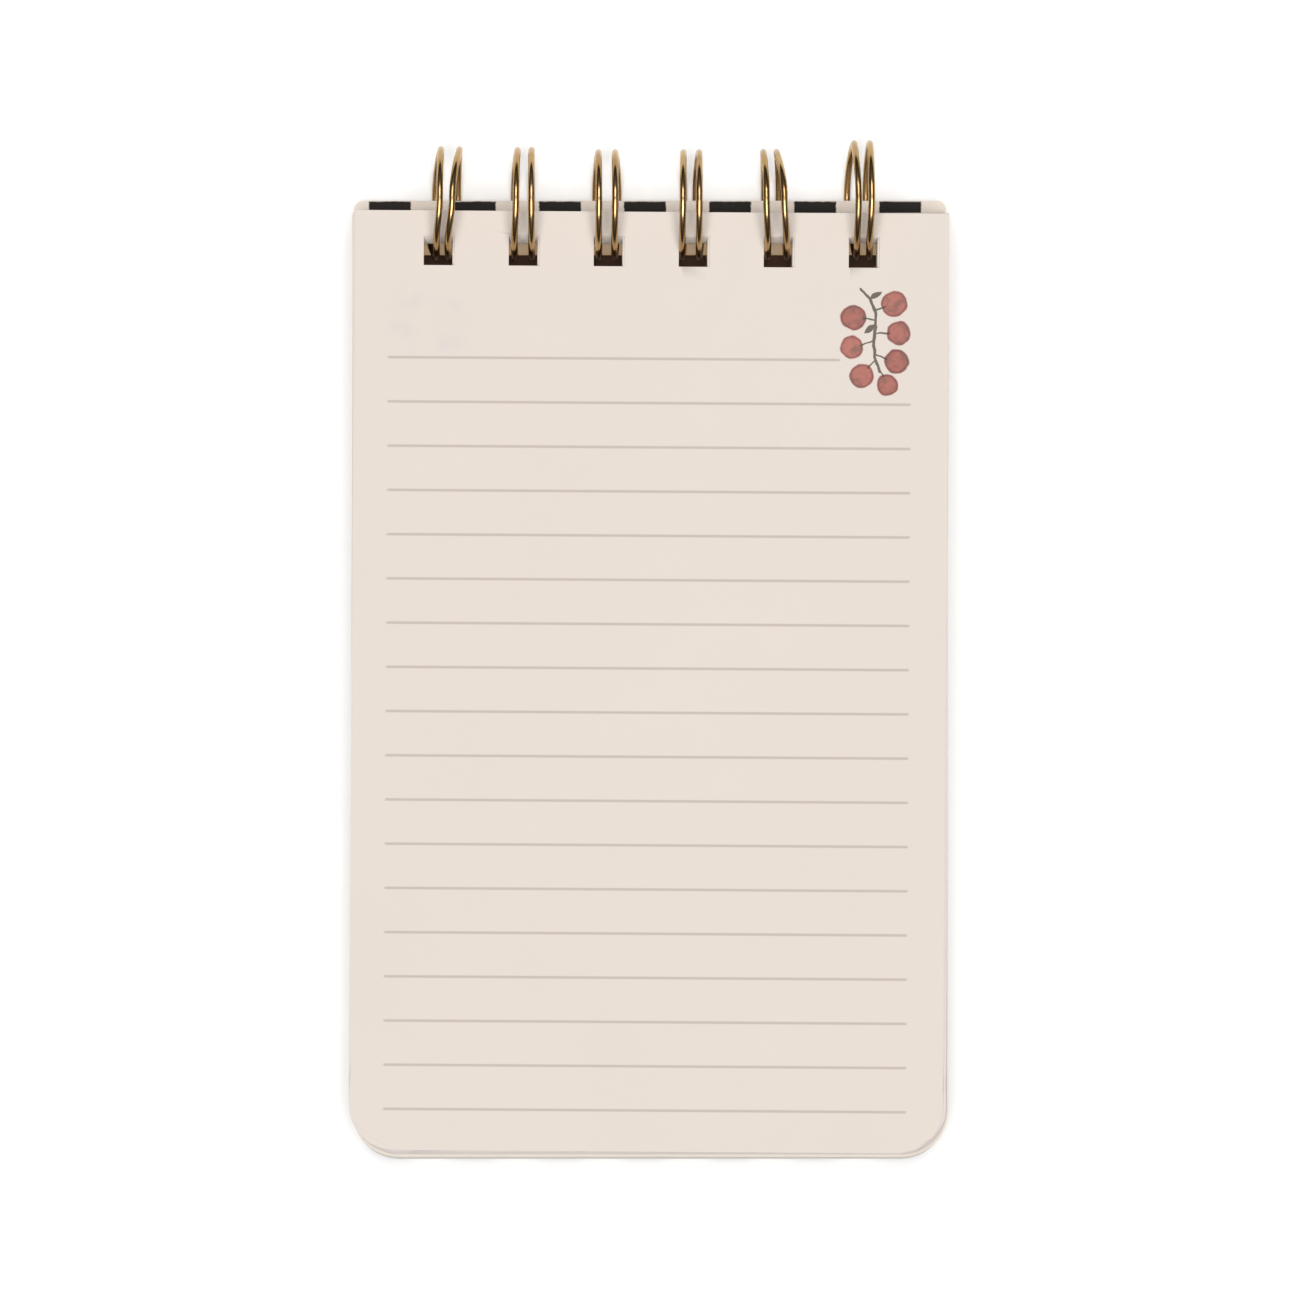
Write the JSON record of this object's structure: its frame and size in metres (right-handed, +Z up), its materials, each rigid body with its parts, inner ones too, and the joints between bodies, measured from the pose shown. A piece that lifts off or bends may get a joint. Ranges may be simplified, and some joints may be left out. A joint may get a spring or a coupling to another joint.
{
  "type": "pocket notebook",
  "caption": "Top-bound pocket notebook: ruled leaves and board covers on double-loop wire, open at its first leaf with the front cover folded behind.",
  "frame": {"origin": "middle of the underside of the whole object, on the table that it lies on", "axes": "+X along the wire binding, to the reader's right; +Y from the foot of the pages to the binding; +Z up out of the top leaf"},
  "size_m": [0.0898, 0.1518, 0.017],
  "materials": {
    "wire": "polished gold-coloured wire",
    "leaf_paper": "uncoated blush-cream writing paper",
    "cover_face": "matt printed cover paper in cream and near-black",
    "cover_board": "grey binder's board, cut edge",
    "cover_lining": "plain cream lining paper"
  },
  "bodies": {
    "page_block": {"leaf_07": "leaf_paper", "leaf_08": "leaf_paper", "leaf_09": "leaf_paper", "leaf_10": "leaf_paper", "leaf_11": "leaf_paper", "leaf_12": "leaf_paper", "leaf_13": "leaf_paper", "leaf_14": "leaf_paper", "leaf_15": "leaf_paper", "leaf_16": "leaf_paper", "leaf_17": "leaf_paper", "leaf_18": "leaf_paper", "leaf_19": "leaf_paper", "leaf_20": "leaf_paper", "leaf_21": "leaf_paper", "leaf_22": "leaf_paper", "leaf_23": "leaf_paper", "leaf_24": "leaf_paper", "leaf_25": "leaf_paper", "leaf_26": "leaf_paper", "leaf_27": "leaf_paper", "leaf_28": "leaf_paper", "leaf_29": "leaf_paper", "leaf_30": "leaf_paper", "leaf_31": "leaf_paper", "leaf_32": "leaf_paper", "leaf_33": "leaf_paper", "leaf_34": "leaf_paper", "leaf_35": "leaf_paper", "leaf_36": "leaf_paper", "leaf_37": "leaf_paper", "leaf_38": "leaf_paper", "leaf_39": "leaf_paper", "leaf_40": "leaf_paper", "leaf_41": "leaf_paper", "leaf_42": "leaf_paper", "leaf_43": "leaf_paper", "leaf_44": "leaf_paper", "leaf_45": "leaf_paper", "leaf_46": "leaf_paper", "leaf_47": "leaf_paper", "leaf_48": "leaf_paper", "leaf_49": "leaf_paper", "leaf_50": "leaf_paper", "back_cover_lining": "cover_lining", "back_cover_board": "cover_board", "back_cover_face": "cover_face"},
    "wire": {"binding_wire": "wire"},
    "front_cover": {"front_cover_face": "cover_face", "front_cover_board": "cover_board", "front_cover_lining": "cover_lining"},
    "leaf_01": {"leaf_01": "leaf_paper"},
    "leaf_02": {"leaf_02": "leaf_paper"},
    "leaf_03": {"leaf_03": "leaf_paper"},
    "leaf_04": {"leaf_04": "leaf_paper"},
    "leaf_05": {"leaf_05": "leaf_paper"},
    "leaf_06": {"leaf_06": "leaf_paper"}
  },
  "joints": [
    {"name": "cover_fold", "type": "hinge", "parent": "page_block", "child": "wire", "pos_m": [0.00015, 0.06737, 0.0085], "axis": [-1, 0, 0], "range_deg": [-267.06, 0]},
    {"name": "cover_tilt", "type": "hinge", "parent": "wire", "child": "front_cover", "pos_m": [0.00015, 0.0621, 0.00248], "axis": [-1, 0, 0], "range_deg": [-92.95, 0]},
    {"name": "leaf_06_turn", "type": "hinge", "parent": "page_block", "child": "leaf_06", "pos_m": [0.00015, 0.06737, 0.0085], "axis": [-1, 0, 0], "range_deg": [0, 180]},
    {"name": "leaf_05_turn", "type": "hinge", "parent": "leaf_06", "child": "leaf_05", "pos_m": [0.00015, 0.06737, 0.0085], "axis": [-1, 0, 0], "range_deg": [0, 180]},
    {"name": "leaf_04_turn", "type": "hinge", "parent": "leaf_05", "child": "leaf_04", "pos_m": [0.00015, 0.06737, 0.0085], "axis": [-1, 0, 0], "range_deg": [0, 180]},
    {"name": "leaf_03_turn", "type": "hinge", "parent": "leaf_04", "child": "leaf_03", "pos_m": [0.00015, 0.06737, 0.0085], "axis": [-1, 0, 0], "range_deg": [0, 180]},
    {"name": "leaf_02_turn", "type": "hinge", "parent": "leaf_03", "child": "leaf_02", "pos_m": [0.00015, 0.06737, 0.0085], "axis": [-1, 0, 0], "range_deg": [0, 180]},
    {"name": "leaf_01_turn", "type": "hinge", "parent": "leaf_02", "child": "leaf_01", "pos_m": [0.00015, 0.06737, 0.0085], "axis": [-1, 0, 0], "range_deg": [0, 180]}
  ],
  "couplings": [
    {"joint": "cover_tilt", "follows": "cover_fold", "ratio": 0.348}
  ]
}
